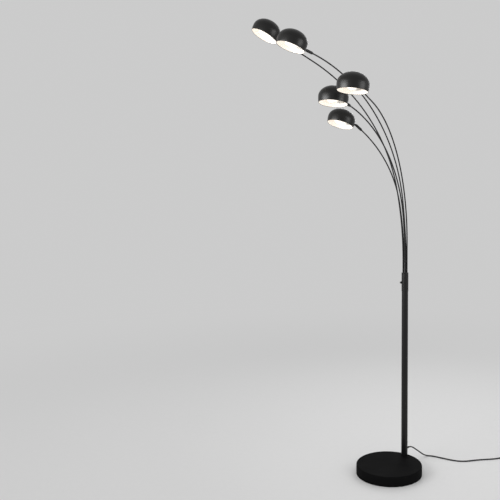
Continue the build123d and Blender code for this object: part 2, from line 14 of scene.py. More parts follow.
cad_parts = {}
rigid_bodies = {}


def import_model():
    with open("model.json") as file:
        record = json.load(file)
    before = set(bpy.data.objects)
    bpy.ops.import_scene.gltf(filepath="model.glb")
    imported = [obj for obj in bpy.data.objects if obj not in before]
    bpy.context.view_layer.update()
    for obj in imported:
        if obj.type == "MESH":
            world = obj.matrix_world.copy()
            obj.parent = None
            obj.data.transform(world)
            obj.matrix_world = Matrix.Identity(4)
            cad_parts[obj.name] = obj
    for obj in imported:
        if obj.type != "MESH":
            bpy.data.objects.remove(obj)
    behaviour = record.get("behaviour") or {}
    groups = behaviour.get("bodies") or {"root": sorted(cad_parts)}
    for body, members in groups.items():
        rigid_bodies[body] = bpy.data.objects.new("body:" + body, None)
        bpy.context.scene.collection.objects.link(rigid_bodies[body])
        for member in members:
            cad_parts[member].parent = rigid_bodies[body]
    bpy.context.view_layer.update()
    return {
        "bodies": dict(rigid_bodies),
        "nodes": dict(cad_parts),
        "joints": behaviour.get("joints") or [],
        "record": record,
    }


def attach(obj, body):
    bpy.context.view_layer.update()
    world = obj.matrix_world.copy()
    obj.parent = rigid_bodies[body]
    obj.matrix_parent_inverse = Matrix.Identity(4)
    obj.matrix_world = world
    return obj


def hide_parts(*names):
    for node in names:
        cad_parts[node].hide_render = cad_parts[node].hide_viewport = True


log = logging.getLogger("lamp")

MM = 0.001
MERGE_DISTANCE = 0.01 * MM
SMOOTH_ANGLE = 35.0
ARM_NUMBERS = (1, 2, 3, 4, 5)

Colour = tuple[float, float, float]
Outline = list[tuple[float, float]]


# ---------------------------------------------------------------- modelling by hand


def deselect() -> None:
    """Leave nothing selected."""
    for obj in list(bpy.context.selected_objects):
        obj.select_set(False)


def activate(obj: bpy.types.Object) -> None:
    """Select one object alone and make it the active one.

    Args:
        obj: The object to work on.
    """
    deselect()
    obj.select_set(True)
    bpy.context.view_layer.objects.active = obj


def select_faces(obj: bpy.types.Object, test: Callable[[Vector, Vector], bool]) -> int:
    """Select the faces that pass a test, in edit mode.

    Args:
        obj: The object, in edit mode.
        test: Takes a face's centre and its normal.

    Returns:
        How many faces were selected.
    """
    bpy.ops.mesh.select_mode(type="FACE")
    bpy.ops.mesh.select_all(action="DESELECT")
    mesh = bmesh.from_edit_mesh(obj.data)
    found = 0
    for face in mesh.faces:
        if test(face.calc_center_median(), face.normal):
            face.select_set(True)
            found += 1
    bmesh.update_edit_mesh(obj.data)
    return found


def settle(obj: bpy.types.Object, place: Matrix) -> None:
    """Put an object in its place and bake that place into its mesh.

    Args:
        obj: The object, modelled about the origin.
        place: Its place in the row's frame.
    """
    activate(obj)
    obj.matrix_world = place @ obj.matrix_world
    bpy.ops.object.transform_apply(location=True, rotation=True, scale=True)


def apply_modifier(obj: bpy.types.Object, kind: str, **settings: object) -> None:
    """Add a modifier, set it and apply it.

    Args:
        obj: The object.
        kind: The modifier's type.
        settings: Its properties.
    """
    activate(obj)
    modifier = obj.modifiers.new(kind.lower(), kind)
    for name, value in settings.items():
        setattr(modifier, name, value)
    bpy.ops.object.modifier_apply(modifier=modifier.name)


def arc(centre: tuple[float, float], radii: tuple[float, float], start: float, end: float,
        steps: int) -> Outline:
    """Points on an elliptic arc of a turned outline.

    Args:
        centre: Distance from the axis and height of the arc's centre.
        radii: Its half width and half height.
        start: First angle in degrees, from straight out.
        end: Last angle in degrees.
        steps: Number of stretches.

    Returns:
        The points, as distance from the axis and height.
    """
    angles = [math.radians(start + (end - start) * i / steps) for i in range(steps + 1)]
    return [(centre[0] + radii[0] * math.cos(a), centre[1] + radii[1] * math.sin(a))
            for a in angles]


def turn_on_lathe(name: str, outline: Outline, segments: int,
                  closed: bool = True) -> bpy.types.Object:
    """Draw an outline from one point by extruding it, and spin it about Z.

    Args:
        name: The new object's name.
        outline: Points as distance from the axis and height.
        segments: Faces round the axis.
        closed: Whether the last point joins the first, as for a wall or a ring.

    Returns:
        The turned solid, about the Z axis.
    """
    deselect()
    bpy.ops.mesh.primitive_plane_add(size=MM)
    obj = bpy.context.object
    obj.name = name
    obj.data.name = name
    bpy.ops.object.mode_set(mode="EDIT")
    bpy.ops.mesh.select_mode(type="VERT")
    bpy.ops.mesh.select_all(action="SELECT")
    bpy.ops.mesh.merge(type="CENTER")
    start = Vector((outline[0][0], 0.0, outline[0][1]))
    bpy.ops.transform.translate(value=start)
    before = start
    for radius, height in outline[1:]:
        point = Vector((radius, 0.0, height))
        bpy.ops.mesh.extrude_region_move(TRANSFORM_OT_translate={"value": point - before})
        before = point
    if closed:
        bpy.ops.mesh.extrude_region_move(TRANSFORM_OT_translate={"value": start - before})
    bpy.ops.mesh.select_all(action="SELECT")
    bpy.ops.mesh.spin(steps=segments, angle=2 * math.pi, center=(0, 0, 0), axis=(0, 0, 1))
    bpy.ops.mesh.select_all(action="SELECT")
    bpy.ops.mesh.remove_doubles(threshold=MERGE_DISTANCE)
    bpy.ops.mesh.normals_make_consistent(inside=False)
    bpy.ops.object.mode_set(mode="OBJECT")
    return obj


def shade_smooth(obj: bpy.types.Object, angle: float = SMOOTH_ANGLE) -> None:
    """Smooth the shading up to an angle between faces.

    Args:
        obj: The object.
        angle: Sharpest angle that stays smooth, in degrees.
    """
    activate(obj)
    bpy.ops.object.shade_smooth_by_angle(angle=math.radians(angle))


# ---------------------------------------------------------------- shared effects


class Effect(Enum):
    """Shared surface effects, each a node group."""

    COATING = "powder_coating"
    CASTING = "cast_skin"
    BRUSHING = "brushed_lines"
    HANDLING = "handling_marks"


def new_group(effect: Effect, inputs: dict[str, float],
              outputs: tuple[str, ...]) -> bpy.types.NodeTree:
    """Start a node group with float sockets.

    Args:
        effect: Which effect it holds.
        inputs: Input names and their defaults.
        outputs: Output names.

    Returns:
        The empty group with its input and output nodes.
    """
    tree = bpy.data.node_groups.new(effect.value, "ShaderNodeTree")
    kind = "NodeSocketFloat"
    for name, default in inputs.items():
        socket = tree.interface.new_socket(name=name, in_out="INPUT", socket_type=kind)
        socket.default_value = default
    for name in outputs:
        tree.interface.new_socket(name=name, in_out="OUTPUT", socket_type=kind)
    tree.nodes.new("NodeGroupInput").name = "in"
    tree.nodes.new("NodeGroupOutput").name = "out"
    return tree


def add_node(tree: bpy.types.NodeTree, kind: str, **settings: object) -> bpy.types.Node:
    """Add a node and set its properties.

    Args:
        tree: The node tree.
        kind: The node's type.
        settings: Its properties.

    Returns:
        The node.
    """
    node = tree.nodes.new(kind)
    for name, value in settings.items():
        setattr(node, name, value)
    return node


def maths(tree: bpy.types.NodeTree, operation: str, first: object,
          second: object) -> bpy.types.NodeSocket:
    """Join two values, each a socket or a number, by a Math node.

    Args:
        tree: The node tree.
        operation: The Math node's operation.
        first: The first value.
        second: The second value.

    Returns:
        The node's output.
    """
    node = add_node(tree, "ShaderNodeMath", operation=operation)
    for socket, value in zip(node.inputs, (first, second)):
        if isinstance(value, bpy.types.NodeSocket):
            tree.links.new(value, socket)
        else:
            socket.default_value = value
    return node.outputs[0]


def noise(tree: bpy.types.NodeTree, scale: object, detail: float, roughness: float = 0.5,
          stretch: tuple[float, float, float] = (1.0, 1.0, 1.0)) -> bpy.types.NodeSocket:
    """Noise over the piece's own coordinates.

    Args:
        tree: The node tree.
        scale: Cells per metre, a socket or a number.
        detail: Octaves.
        roughness: Weight of the finer octaves.
        stretch: Scale of the pattern along each axis.

    Returns:
        The noise's value, about 0 to 1.
    """
    coordinates = add_node(tree, "ShaderNodeTexCoord")
    mapping = add_node(tree, "ShaderNodeMapping")
    mapping.inputs["Scale"].default_value = stretch
    texture = add_node(tree, "ShaderNodeTexNoise")
    texture.inputs["Detail"].default_value = detail
    texture.inputs["Roughness"].default_value = roughness
    tree.links.new(coordinates.outputs["Object"], mapping.inputs["Vector"])
    tree.links.new(mapping.outputs["Vector"], texture.inputs["Vector"])
    if isinstance(scale, bpy.types.NodeSocket):
        tree.links.new(scale, texture.inputs["Scale"])
    else:
        texture.inputs["Scale"].default_value = scale
    return texture.outputs["Fac"]


def coating_group() -> bpy.types.NodeTree:
    """Fine orange peel of a sprayed coat, with broad changes of gloss.

    Returns:
        The node group.
    """
    tree = new_group(Effect.COATING, {"Grain": 1400.0, "Clouds": 9.0}, ("Height", "Clouding"))
    source = tree.nodes["in"].outputs
    target = tree.nodes["out"].inputs
    peel = noise(tree, source["Grain"], detail=2.0, roughness=0.55)
    clouds = noise(tree, source["Clouds"], detail=3.0, roughness=0.6)
    tree.links.new(peel, target["Height"])
    tree.links.new(clouds, target["Clouding"])
    return tree


def casting_group() -> bpy.types.NodeTree:
    """Sandy skin of a casting.

    Returns:
        The node group.
    """
    tree = new_group(Effect.CASTING, {"Sand": 900.0}, ("Height", "Patches"))
    source = tree.nodes["in"].outputs
    target = tree.nodes["out"].inputs
    lump_size, lump_weight = 0.12, 1.5
    lump_scale = maths(tree, "MULTIPLY", source["Sand"], lump_size)
    lumps = noise(tree, lump_scale, detail=3.0, roughness=0.6)
    sand = noise(tree, source["Sand"], detail=4.0, roughness=0.7)
    patches = noise(tree, scale=30.0, detail=4.0, roughness=0.6)
    height = maths(tree, "ADD", maths(tree, "MULTIPLY", lumps, lump_weight), sand)
    tree.links.new(height, target["Height"])
    tree.links.new(patches, target["Patches"])
    return tree


def brushing_group() -> bpy.types.NodeTree:
    """Fine lines of a turned or drawn metal surface.

    Returns:
        The node group.
    """
    tree = new_group(Effect.BRUSHING, {"Lines": 900.0}, ("Height", "Streaks"))
    source = tree.nodes["in"].outputs
    target = tree.nodes["out"].inputs
    lines = noise(tree, source["Lines"], detail=2.0, stretch=(0.04, 0.04, 1.0))
    streaks = noise(tree, scale=160.0, detail=3.0, roughness=0.6, stretch=(0.1, 0.1, 1.0))
    tree.links.new(lines, target["Height"])
    tree.links.new(streaks, target["Streaks"])
    return tree


def handling_group() -> bpy.types.NodeTree:
    """Faint smears that dull or polish a surface where hands have been.

    Returns:
        The node group.
    """
    faint, full = 0.45, 0.75
    tree = new_group(Effect.HANDLING, {"Smears": 22.0}, ("Smear",))
    source = tree.nodes["in"].outputs
    smears = noise(tree, source["Smears"], detail=5.0, roughness=0.65, stretch=(1.0, 1.0, 0.4))
    spread = add_node(tree, "ShaderNodeMapRange")
    spread.inputs["From Min"].default_value = faint
    spread.inputs["From Max"].default_value = full
    tree.links.new(smears, spread.inputs["Value"])
    tree.links.new(spread.outputs["Result"], tree.nodes["out"].inputs["Smear"])
    return tree


GROUP_MAKERS: dict[Effect, Callable[[], bpy.types.NodeTree]] = {
    Effect.COATING: coating_group,
    Effect.CASTING: casting_group,
    Effect.BRUSHING: brushing_group,
    Effect.HANDLING: handling_group,
}


# ---------------------------------------------------------------- finishes


class Recipe:
    """One material under construction: its tree, its shader and short ways to join them."""

    def __init__(self, name: str) -> None:
        """Start an empty material.

        Args:
            name: The material's name.
        """
        self.material = bpy.data.materials.new(name)
        self.material.use_nodes = True
        self.tree = self.material.node_tree
        self.shader = self.tree.nodes["Principled BSDF"]

    def set(self, **values: object) -> None:
        """Set the shader's own sockets, with underscores for spaces.

        Args:
            values: Socket names and their values.
        """
        for name, value in values.items():
            self.shader.inputs[name.replace("_", " ")].default_value = value

    def effect(self, effect: Effect, **values: float) -> bpy.types.Node:
        """Place a shared effect.

        Args:
            effect: Which one.
            values: Its inputs.

        Returns:
            The group node.
        """
        tree = bpy.data.node_groups.get(effect.value) or GROUP_MAKERS[effect]()
        node = add_node(self.tree, "ShaderNodeGroup", node_tree=tree)
        for name, value in values.items():
            node.inputs[name].default_value = value
        return node

    def between(self, value: bpy.types.NodeSocket, low: float, high: float, socket: str) -> None:
        """Spread a 0 to 1 value between two numbers and feed it to the shader.

        Args:
            value: The value.
            low: What 0 becomes.
            high: What 1 becomes.
            socket: The shader's socket.
        """
        spread = add_node(self.tree, "ShaderNodeMapRange")
        spread.inputs["To Min"].default_value = low
        spread.inputs["To Max"].default_value = high
        self.tree.links.new(value, spread.inputs["Value"])
        self.tree.links.new(spread.outputs["Result"], self.shader.inputs[socket])

    def tint(self, value: bpy.types.NodeSocket, low: Colour, high: Colour) -> bpy.types.NodeSocket:
        """Mix two colours by a value.

        Args:
            value: The value.
            low: The colour at 0.
            high: The colour at 1.

        Returns:
            The mixed colour.
        """
        mix = add_node(self.tree, "ShaderNodeMix", data_type="RGBA")
        mix.inputs["A"].default_value = (*low, 1.0)
        mix.inputs["B"].default_value = (*high, 1.0)
        self.tree.links.new(value, mix.inputs["Factor"])
        return mix.outputs["Result"]

    def colour(self, value: bpy.types.NodeSocket, low: Colour, high: Colour) -> None:
        """Colour the surface between two colours by a value.

        Args:
            value: The value.
            low: The colour at 0.
            high: The colour at 1.
        """
        self.tree.links.new(self.tint(value, low, high), self.shader.inputs["Base Color"])

    def bump(self, height: bpy.types.NodeSocket, depth: float) -> None:
        """Raise the surface by a height.

        Args:
            height: The height, 0 to 1.
            depth: Its depth in metres.
        """
        node = add_node(self.tree, "ShaderNodeBump")
        node.inputs["Distance"].default_value = depth
        self.tree.links.new(height, node.inputs["Height"])
        self.tree.links.new(node.outputs["Normal"], self.shader.inputs["Normal"])


@dataclass(frozen=True)
class CoatedSteel:
    """Sprayed coat on steel or aluminium."""

    name: str
    dark: Colour = (0.0034, 0.0034, 0.0036)
    light: Colour = (0.0056, 0.0056, 0.0058)
    matt: float = 0.38
    gloss: float = 0.32
    specular: float = 0.30
    cloud_weight: float = 0.7
    smear_weight: float = 0.3
    grain: float = 1500.0
    depth: float = 0.04 * MM

    def make(self) -> bpy.types.Material:
        """Build the material.

        Returns:
            The material.
        """
        recipe = Recipe(self.name)
        coat = recipe.effect(Effect.COATING, Grain=self.grain)
        smear = recipe.effect(Effect.HANDLING)
        recipe.colour(coat.outputs["Clouding"], self.dark, self.light)
        clouds = maths(recipe.tree, "MULTIPLY", coat.outputs["Clouding"], self.cloud_weight)
        smears = maths(recipe.tree, "MULTIPLY", smear.outputs["Smear"], self.smear_weight)
        both = maths(recipe.tree, "ADD", clouds, smears)
        recipe.between(both, self.matt, self.gloss, "Roughness")
        recipe.bump(coat.outputs["Height"], self.depth)
        recipe.set(Specular_IOR_Level=self.specular)
        return recipe.material


@dataclass(frozen=True)
class PlainMetal:
    """Bare or plated metal with turned or drawn lines."""

    name: str
    dark: Colour = (0.34, 0.34, 0.35)
    light: Colour = (0.52, 0.52, 0.52)
    rough: float = 0.42
    smooth: float = 0.26
    depth: float = 0.02 * MM

    def make(self) -> bpy.types.Material:
        """Build the material.

        Returns:
            The material.
        """
        recipe = Recipe(self.name)
        lines = recipe.effect(Effect.BRUSHING)
        recipe.colour(lines.outputs["Streaks"], self.dark, self.light)
        recipe.between(lines.outputs["Streaks"], self.rough, self.smooth, "Roughness")
        recipe.bump(lines.outputs["Height"], self.depth)
        recipe.set(Metallic=1.0)
        return recipe.material


@dataclass(frozen=True)
class CastIron:
    """Rough grey casting."""

    name: str
    dark: Colour = (0.028, 0.027, 0.026)
    light: Colour = (0.075, 0.072, 0.068)
    smooth: float = 0.62
    rough: float = 0.82
    depth: float = 0.6 * MM
    metallic: float = 0.6

    def make(self) -> bpy.types.Material:
        """Build the material.

        Returns:
            The material.
        """
        recipe = Recipe(self.name)
        skin = recipe.effect(Effect.CASTING)
        recipe.colour(skin.outputs["Patches"], self.dark, self.light)
        recipe.between(skin.outputs["Patches"], self.smooth, self.rough, "Roughness")
        recipe.bump(skin.outputs["Height"], self.depth)
        recipe.set(Metallic=self.metallic)
        return recipe.material


@dataclass(frozen=True)
class Moulded:
    """Moulded plastic, rubber or foam."""

    name: str
    dark: Colour = (0.009, 0.009, 0.0095)
    light: Colour = (0.016, 0.016, 0.0165)
    rough: float = 0.55
    smooth: float = 0.42
    grain: float = 2600.0
    clouds: float = 30.0
    depth: float = 0.05 * MM
    specular: float = 0.4

    def make(self) -> bpy.types.Material:
        """Build the material.

        Returns:
            The material.
        """
        recipe = Recipe(self.name)
        coat = recipe.effect(Effect.COATING, Grain=self.grain, Clouds=self.clouds)
        recipe.colour(coat.outputs["Clouding"], self.dark, self.light)
        recipe.between(coat.outputs["Clouding"], self.rough, self.smooth, "Roughness")
        recipe.bump(coat.outputs["Height"], self.depth)
        recipe.set(Specular_IOR_Level=self.specular)
        return recipe.material


@dataclass(frozen=True)
class WhiteEnamel:
    """White enamel inside of a shade, with a painted glow standing in for its bulb's light."""

    name: str
    dark: Colour = (0.66, 0.64, 0.61)
    light: Colour = (0.72, 0.70, 0.67)
    rough: float = 0.6
    smooth: float = 0.48
    grain: float = 1500.0
    depth: float = 0.04 * MM
    specular: float = 0.3
    # painted glow: the enamel wall itself emits this warm light, standing in for the light its bulb
    # casts on it
    glow: Colour = (1.0, 0.885, 0.77)
    strength: float = 0.36

    def make(self) -> bpy.types.Material:
        """Build the material.

        Returns:
            The material.
        """
        recipe = Recipe(self.name)
        coat = recipe.effect(Effect.COATING, Grain=self.grain)
        recipe.colour(coat.outputs["Clouding"], self.dark, self.light)
        recipe.between(coat.outputs["Clouding"], self.rough, self.smooth, "Roughness")
        recipe.bump(coat.outputs["Height"], self.depth)
        recipe.set(Specular_IOR_Level=self.specular, Emission_Color=(*self.glow, 1.0),
                   Emission_Strength=self.strength)
        return recipe.material


@dataclass(frozen=True)
class FrostedGlow:
    """Frosted glass of a bulb that is lit from inside."""

    name: str
    dark: Colour = (0.62, 0.60, 0.56)
    light: Colour = (0.70, 0.68, 0.64)
    smooth: float = 0.5
    rough: float = 0.62
    grain: float = 2200.0
    clouds: float = 40.0
    depth: float = 0.02 * MM
    core: Colour = (1.0, 0.93, 0.84)
    edge: Colour = (1.0, 0.88, 0.76)
    strength: float = 0.95

    def make(self) -> bpy.types.Material:
        """Build the material.

        Returns:
            The material.
        """
        recipe = Recipe(self.name)
        frost = recipe.effect(Effect.COATING, Grain=self.grain, Clouds=self.clouds)
        recipe.colour(frost.outputs["Clouding"], self.dark, self.light)
        recipe.between(frost.outputs["Clouding"], self.smooth, self.rough, "Roughness")
        recipe.bump(frost.outputs["Height"], self.depth)
        glow = recipe.tint(frost.outputs["Clouding"], self.edge, self.core)
        recipe.tree.links.new(glow, recipe.shader.inputs["Emission Color"])
        recipe.set(Emission_Strength=self.strength)
        return recipe.material


@dataclass
class Palette:
    """Every finish on the lamp, by name."""

    made: dict[str, bpy.types.Material] = field(default_factory=dict)

    def __post_init__(self) -> None:
        """Build each material once."""
        finishes = (
            CoatedSteel("satin_black_base", matt=0.85, gloss=0.72, specular=0.05, grain=1300.0),
            CoatedSteel("satin_black_pole"),
            CoatedSteel("satin_black_arm", grain=2200.0),
            CoatedSteel("satin_black_shade", dark=(0.0038, 0.0036, 0.0034),
                        light=(0.0060, 0.0057, 0.0054)),
            PlainMetal("zinc_steel"),
            PlainMetal("nickel_plate", dark=(0.55, 0.54, 0.51), light=(0.68, 0.67, 0.63),
                       rough=0.3, smooth=0.18),
            CastIron("grey_iron"),
            Moulded("black_foam", rough=0.92, smooth=0.85, grain=1500.0, depth=0.3 * MM,
                    specular=0.2),
            Moulded("black_plastic"),
            Moulded("black_cord", rough=0.6, smooth=0.5, grain=1800.0),
            Moulded("white_plastic", dark=(0.62, 0.60, 0.56), light=(0.70, 0.68, 0.64)),
            WhiteEnamel("white_enamel_painted_glow"),
            FrostedGlow("frosted_glow"),
        )
        for finish in finishes:
            self.made[finish.name] = finish.make()

    def coat(self, obj: bpy.types.Object, *names: str) -> None:
        """Give an object its finishes, in place of any it has.

        Args:
            obj: The object.
            names: Finish names, one for each material slot.
        """
        obj.data.materials.clear()
        for name in names:
            obj.data.materials.append(self.made[name])


# ---------------------------------------------------------------- camera, light and floor


@dataclass(frozen=True)
class Camera:
    """The photograph's camera, as pixels of its square picture and degrees."""

    place: tuple[float, float, float] = (1.7568, -2.5024, 1.2903)
    heading: float = 40.15
    pitch: float = -1.75
    focal_px: float = 672.6
    axis_px: tuple[float, float] = (330.0, 212.0)
    image_px: int = 500
    sensor: float = 36.0

    def make(self) -> None:
        """Create the camera and make it the scene's."""
        data = bpy.data.cameras.new("camera")
        data.sensor_width = self.sensor
        data.lens = self.focal_px / self.image_px * self.sensor
        half = self.image_px / 2
        data.shift_x = (half - self.axis_px[0]) / self.image_px
        data.shift_y = (self.axis_px[1] - half) / self.image_px
        obj = bpy.data.objects.new("camera", data)
        obj.location = self.place
        obj.rotation_euler = (math.radians(90 + self.pitch), 0.0, math.radians(self.heading))
        bpy.context.scene.collection.objects.link(obj)
        bpy.context.scene.camera = obj


@dataclass(frozen=True)
class Lamp:
    """One soft studio lamp."""

    name: str
    place: tuple[float, float, float]
    aim: tuple[float, float, float]
    size: tuple[float, float]
    power: float
    spread: float = 92.0

    def make(self) -> None:
        """Create the lamp, aimed, with a grid that keeps its light off the floor."""
        data = bpy.data.lights.new(self.name, "AREA")
        data.shape = "RECTANGLE"
        data.size, data.size_y = self.size
        data.energy = self.power
        data.spread = math.radians(self.spread)
        obj = bpy.data.objects.new(self.name, data)
        obj.location = self.place
        way = Vector(self.aim) - Vector(self.place)
        obj.rotation_euler = way.to_track_quat("-Z", "Y").to_euler()
        obj.visible_camera = False
        bpy.context.scene.collection.objects.link(obj)


class Studio:
    """Pale floor, pale surroundings and three soft lamps: left, right and behind."""

    pale = 0.60
    ambient = 0.72
    floor_size = 60.0
    floor_dark = (0.77, 0.77, 0.77)
    floor_light = (0.79, 0.79, 0.79)
    floor_clouds = 40.0
    fade = (1.6, 4.5)
    lamps = (
        Lamp("left", (-0.72, -2.12, 1.60), (0.0, -0.45, 1.75), (1.7, 1.1), 20.0),
        Lamp("right", (1.97, 0.05, 1.60), (0.0, -0.45, 1.75), (1.3, 1.1), 5.5),
        Lamp("back", (-1.6, 2.6, 2.4), (0.0, 0.0, 1.3), (1.4, 1.4), 6.0),
    )

    def make(self) -> None:
        """Create the surroundings."""
        bpy.context.scene.view_settings.view_transform = "Standard"
        self.make_world()
        self.make_floor()
        for lamp in self.lamps:
            lamp.make()

    def seen_directly(self, tree: bpy.types.NodeTree) -> bpy.types.NodeSocket:
        """Tell a ray of the camera, a reflection or glass from a ray that only lights.

        Args:
            tree: The node tree.

        Returns:
            1 for a ray that shows the surroundings, else 0.
        """
        rays = add_node(tree, "ShaderNodeLightPath")
        seen = maths(tree, "MAXIMUM", rays.outputs["Is Camera Ray"], rays.outputs["Is Glossy Ray"])
        return maths(tree, "MAXIMUM", seen, rays.outputs["Is Transmission Ray"])

    def make_world(self) -> None:
        """Pale all round, as light and in reflections."""
        world = bpy.data.worlds.new("studio")
        bpy.context.scene.world = world
        world.use_nodes = True
        tree = world.node_tree
        background = tree.nodes["Background"]
        background.inputs["Color"].default_value = (1.0, 1.0, 1.0, 1.0)
        spread = add_node(tree, "ShaderNodeMapRange")
        spread.inputs["To Min"].default_value = self.ambient
        spread.inputs["To Max"].default_value = self.pale
        tree.links.new(self.seen_directly(tree), spread.inputs["Value"])
        tree.links.new(spread.outputs["Result"], background.inputs["Strength"])

    def make_floor(self) -> None:
        """Lay a plain pale floor.

        It is lit near the lamp, so it keeps the shadow, and has the backdrop's colour far off.
        """
        deselect()
        bpy.ops.mesh.primitive_plane_add(size=self.floor_size)
        floor = bpy.context.object
        floor.name = "floor"
        recipe = Recipe("pale_floor")
        tree = recipe.tree
        clouds = noise(tree, self.floor_clouds, detail=3.0)
        recipe.colour(clouds, self.floor_dark, self.floor_light)
        recipe.set(Roughness=0.9, Specular_IOR_Level=0.0)
        far = add_node(tree, "ShaderNodeEmission")
        far.inputs["Strength"].default_value = self.pale
        place = add_node(tree, "ShaderNodeTexCoord")
        distance = add_node(tree, "ShaderNodeVectorMath", operation="LENGTH")
        tree.links.new(place.outputs["Object"], distance.inputs[0])
        spread = add_node(tree, "ShaderNodeMapRange", interpolation_type="SMOOTHSTEP")
        for end, reach in zip(("From Min", "From Max"), self.fade):
            spread.inputs[end].default_value = reach
        tree.links.new(distance.outputs["Value"], spread.inputs["Value"])
        blend = add_node(tree, "ShaderNodeMixShader")
        tree.links.new(maths(tree, "MULTIPLY", spread.outputs["Result"], self.seen_directly(tree)),
                       blend.inputs["Fac"])
        tree.links.new(recipe.shader.outputs["BSDF"], blend.inputs[1])
        tree.links.new(far.outputs["Emission"], blend.inputs[2])
        tree.links.new(blend.outputs["Shader"], tree.nodes["Material Output"].inputs["Surface"])
        floor.data.materials.append(recipe.material)


# ---------------------------------------------------------------- frames read from the model


def surface_centre(obj: bpy.types.Object) -> Vector:
    """Centre of an object's surface, each face weighed by its area.

    Args:
        obj: A CAD node's object.

    Returns:
        The centre, in the row's frame.
    """
    total = 0.0
    centre = Vector((0.0, 0.0, 0.0))
    for face in obj.data.polygons:
        total += face.area
        centre += face.center * face.area
    return centre / total


@dataclass
class Head:
    """Place of one head.

    The origin is on the hinge pin, X points at the dome's axis and Z points up that axis.
    """

    number: int
    matrix: Matrix

    @classmethod
    def read(cls, frame: dict, number: int) -> "Head":
        """Work the head's place out from its joint and its bulb.

        Args:
            number: The arm's number.

        Returns:
            The head's place.
        """
        joint = next(j for j in frame["joints"] if j["name"] == f"shade_tilt_{number}")
        pin = Vector(joint["pos_m"])
        across = Vector(joint["axis"]).normalized()
        ahead = surface_centre(frame["nodes"][f"bulb_{number}"]) - pin
        ahead = (ahead - across * ahead.dot(across)).normalized()
        up = across.cross(ahead)
        columns = (ahead, up.cross(ahead), up)
        matrix = Matrix([[c[row] for c in columns] for row in range(3)]).to_4x4()
        return cls(number, Matrix.Translation(pin) @ matrix)

    def along_stud(self, back: float) -> Matrix:
        """Place of a piece turned about Z that lies along the stud.

        Args:
            back: Distance from the hinge pin to the piece's back.

        Returns:
            The place, in the row's frame.
        """
        return (self.matrix @ Matrix.Translation((back, 0, 0))
                @ Matrix.Rotation(math.pi / 2, 4, "Y"))


# ---------------------------------------------------------------- heads


@dataclass
class Shade:
    """Spun open dome: satin black outside, white inside."""

    belly_radius: float = 62.5 * MM
    rim_radius: float = 59.25 * MM
    belly_height: float = 26.7 * MM
    crown: float = 45.9 * MM
    wall: float = 1.0 * MM
    reach: float = 76.5 * MM
    rim_drop: float = 25.0 * MM
    bead: float = 0.75 * MM
    hole: float = 5.1 * MM
    segments: int = 128
    skirt_steps: int = 10
    dome_steps: int = 40
    roll_steps: int = 10
    roll_ends: tuple[float, float] = (20.0, -200.0)
    crease: float = 40.0
    drill_segments: int = 48
    drill_length: float = 30.0 * MM

    def lower(self, inset: float) -> Outline:
        """Points down the skirt from the belly to just above the rim.

        Args:
            inset: Distance inside the outer face.

        Returns:
            The points.
        """
        drop = self.belly_radius - self.rim_radius
        found = []
        for i in range(1, self.skirt_steps):
            part = i / self.skirt_steps
            found.append((self.belly_radius - drop * part ** 2 - inset,
                          self.belly_height * (1 - part)))
        return found

    def outline(self) -> Outline:
        """Draw the outside, the rolled rim and the inside.

        Returns:
            The points, from the crown's outside to its inside.
        """
        centre = (0.0, self.belly_height)
        inner = (self.belly_radius - self.wall, self.crown - self.wall)
        outside = arc(centre, (self.belly_radius, self.crown), 90, 0, self.dome_steps)
        inside = arc(centre, inner, 0, 90, self.dome_steps)
        middle = (self.rim_radius - self.bead, self.bead)
        roll = arc(middle, (self.bead, self.bead), *self.roll_ends, self.roll_steps)
        return outside + self.lower(0.0) + roll + self.lower(self.wall)[::-1] + inside

    def make(self, head: Head, palette: Palette) -> bpy.types.Object:
        """Spin the dome, cut its side hole and colour its faces.

        Args:
            head: The head's place.
            palette: The finishes.

        Returns:
            The finished piece.
        """
        obj = turn_on_lathe(f"shade_shell_{head.number}", self.outline(), self.segments,
                            closed=False)
        self.cut_hole(obj)
        # the inside's white enamel carries a painted glow that stands in for the bulb's light
        palette.coat(obj, "satin_black_shade", "white_enamel_painted_glow")
        activate(obj)
        bpy.ops.object.mode_set(mode="EDIT")
        centre = Vector((0.0, 0.0, self.belly_height))
        select_faces(obj, lambda spot, normal: (spot - centre).dot(normal) < 0
                     and spot.z > 2 * self.bead)
        obj.active_material_index = 1
        bpy.ops.object.material_slot_assign()
        bpy.ops.object.mode_set(mode="OBJECT")
        shade_smooth(obj, self.crease)
        settle(obj, head.matrix @ Matrix.Translation((self.reach, 0.0, -self.rim_drop)))
        return obj

    def cut_hole(self, obj: bpy.types.Object) -> None:
        """Cut the stud's hole through the side.

        Args:
            obj: The dome, about its own axis.
        """
        deselect()
        bpy.ops.mesh.primitive_cylinder_add(vertices=self.drill_segments, radius=self.hole,
                                            depth=self.drill_length,
                                            location=(-self.belly_radius, 0.0, self.rim_drop),
                                            rotation=(0.0, math.pi / 2, 0.0))
        drill = bpy.context.object
        apply_modifier(obj, "BOOLEAN", operation="DIFFERENCE", solver="EXACT", object=drill)
        bpy.data.objects.remove(drill)


